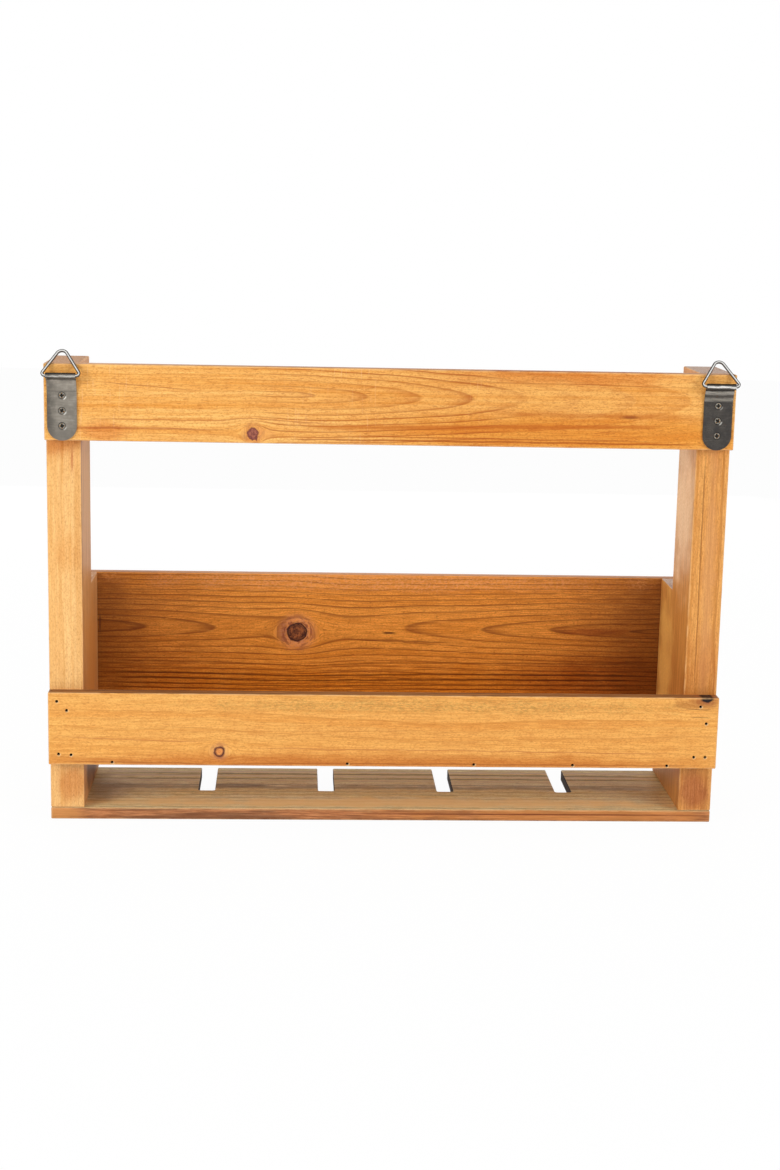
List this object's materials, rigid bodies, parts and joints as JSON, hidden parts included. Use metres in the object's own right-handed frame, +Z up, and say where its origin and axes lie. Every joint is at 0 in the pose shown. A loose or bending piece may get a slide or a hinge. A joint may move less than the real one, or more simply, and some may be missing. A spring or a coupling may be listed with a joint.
{
  "type": "wall-mounted wine rack",
  "caption": "Open wooden wall rack: a bin for upright bottles between two back rails and a front board, over a shelf with stem slots, on two strap hangers with loose triangle rings.",
  "frame": {"origin": "bottom centre of the whole object, on the slotted shelf's underside", "axes": "+Z up, +Y towards the wall, front faces -Y, +X to the right seen from the front"},
  "size_m": [0.5104, 0.14, 0.3581],
  "materials": {
    "top_rail_wood": "honey-orange stained softwood, satin, horizontal grain",
    "lower_rail_wood": "light golden stained softwood, satin, horizontal grain, small knot",
    "front_board_wood": "red-brown stained softwood, satin, strong horizontal grain, one round knot",
    "left_side_wood": "golden stained softwood, satin, vertical grain",
    "right_side_wood": "golden stained softwood, satin, vertical grain",
    "bottle_shelf_wood": "stained softwood, satin",
    "glass_shelf_wood": "grey-brown weathered softwood, tan towards the back edge",
    "left_strap_steel": "dark gunmetal sheet steel",
    "right_strap_steel": "grey sheet steel",
    "ring_plated_steel": "bright nickel-plated wire",
    "screw_zinc": "zinc-plated screw",
    "brad_steel": "dark steel brad"
  },
  "bodies": {
    "rack": {"top_back_rail": "top_rail_wood", "lower_back_rail": "lower_rail_wood", "front_board": "front_board_wood", "left_side_board": "left_side_wood", "right_side_board": "right_side_wood", "bottle_shelf": "bottle_shelf_wood", "glass_shelf": "glass_shelf_wood", "left_hanger_strap": "left_strap_steel", "right_hanger_strap": "right_strap_steel", "left_strap_screw_1": "screw_zinc", "left_strap_screw_2": "screw_zinc", "left_strap_screw_3": "screw_zinc", "right_strap_screw_1": "screw_zinc", "right_strap_screw_2": "screw_zinc", "right_strap_screw_3": "screw_zinc", "lower_rail_brad_1": "brad_steel", "lower_rail_brad_2": "brad_steel", "lower_rail_brad_3": "brad_steel", "lower_rail_brad_4": "brad_steel", "lower_rail_brad_5": "brad_steel", "lower_rail_brad_6": "brad_steel", "lower_rail_brad_7": "brad_steel", "lower_rail_brad_8": "brad_steel", "lower_rail_brad_9": "brad_steel", "lower_rail_brad_10": "brad_steel", "lower_rail_brad_11": "brad_steel", "lower_rail_brad_12": "brad_steel", "lower_rail_brad_13": "brad_steel", "top_rail_brad_1": "brad_steel", "top_rail_brad_2": "brad_steel", "top_rail_brad_3": "brad_steel", "top_rail_brad_4": "brad_steel", "front_board_brad_1": "brad_steel", "front_board_brad_2": "brad_steel", "front_board_brad_3": "brad_steel", "front_board_brad_4": "brad_steel", "front_board_brad_5": "brad_steel", "front_board_brad_6": "brad_steel", "front_board_brad_7": "brad_steel", "front_board_brad_8": "brad_steel", "front_board_brad_9": "brad_steel", "front_board_brad_10": "brad_steel", "glass_shelf_brad_1": "brad_steel", "glass_shelf_brad_2": "brad_steel", "glass_shelf_brad_3": "brad_steel", "glass_shelf_brad_4": "brad_steel", "glass_shelf_brad_5": "brad_steel", "glass_shelf_brad_6": "brad_steel"},
    "left_ring": {"left_hanger_ring": "ring_plated_steel"},
    "right_ring": {"right_hanger_ring": "ring_plated_steel"}
  },
  "joints": [
    {"name": "left_ring_swing", "type": "hinge", "parent": "rack", "child": "left_ring", "pos_m": [-0.2408, 0.06775, 0.3398], "axis": [-1, 0, 0], "range_deg": [0, 231]},
    {"name": "right_ring_swing", "type": "hinge", "parent": "rack", "child": "right_ring", "pos_m": [0.2408, 0.06775, 0.3398], "axis": [-1, 0, 0], "range_deg": [0, 231]}
  ]
}
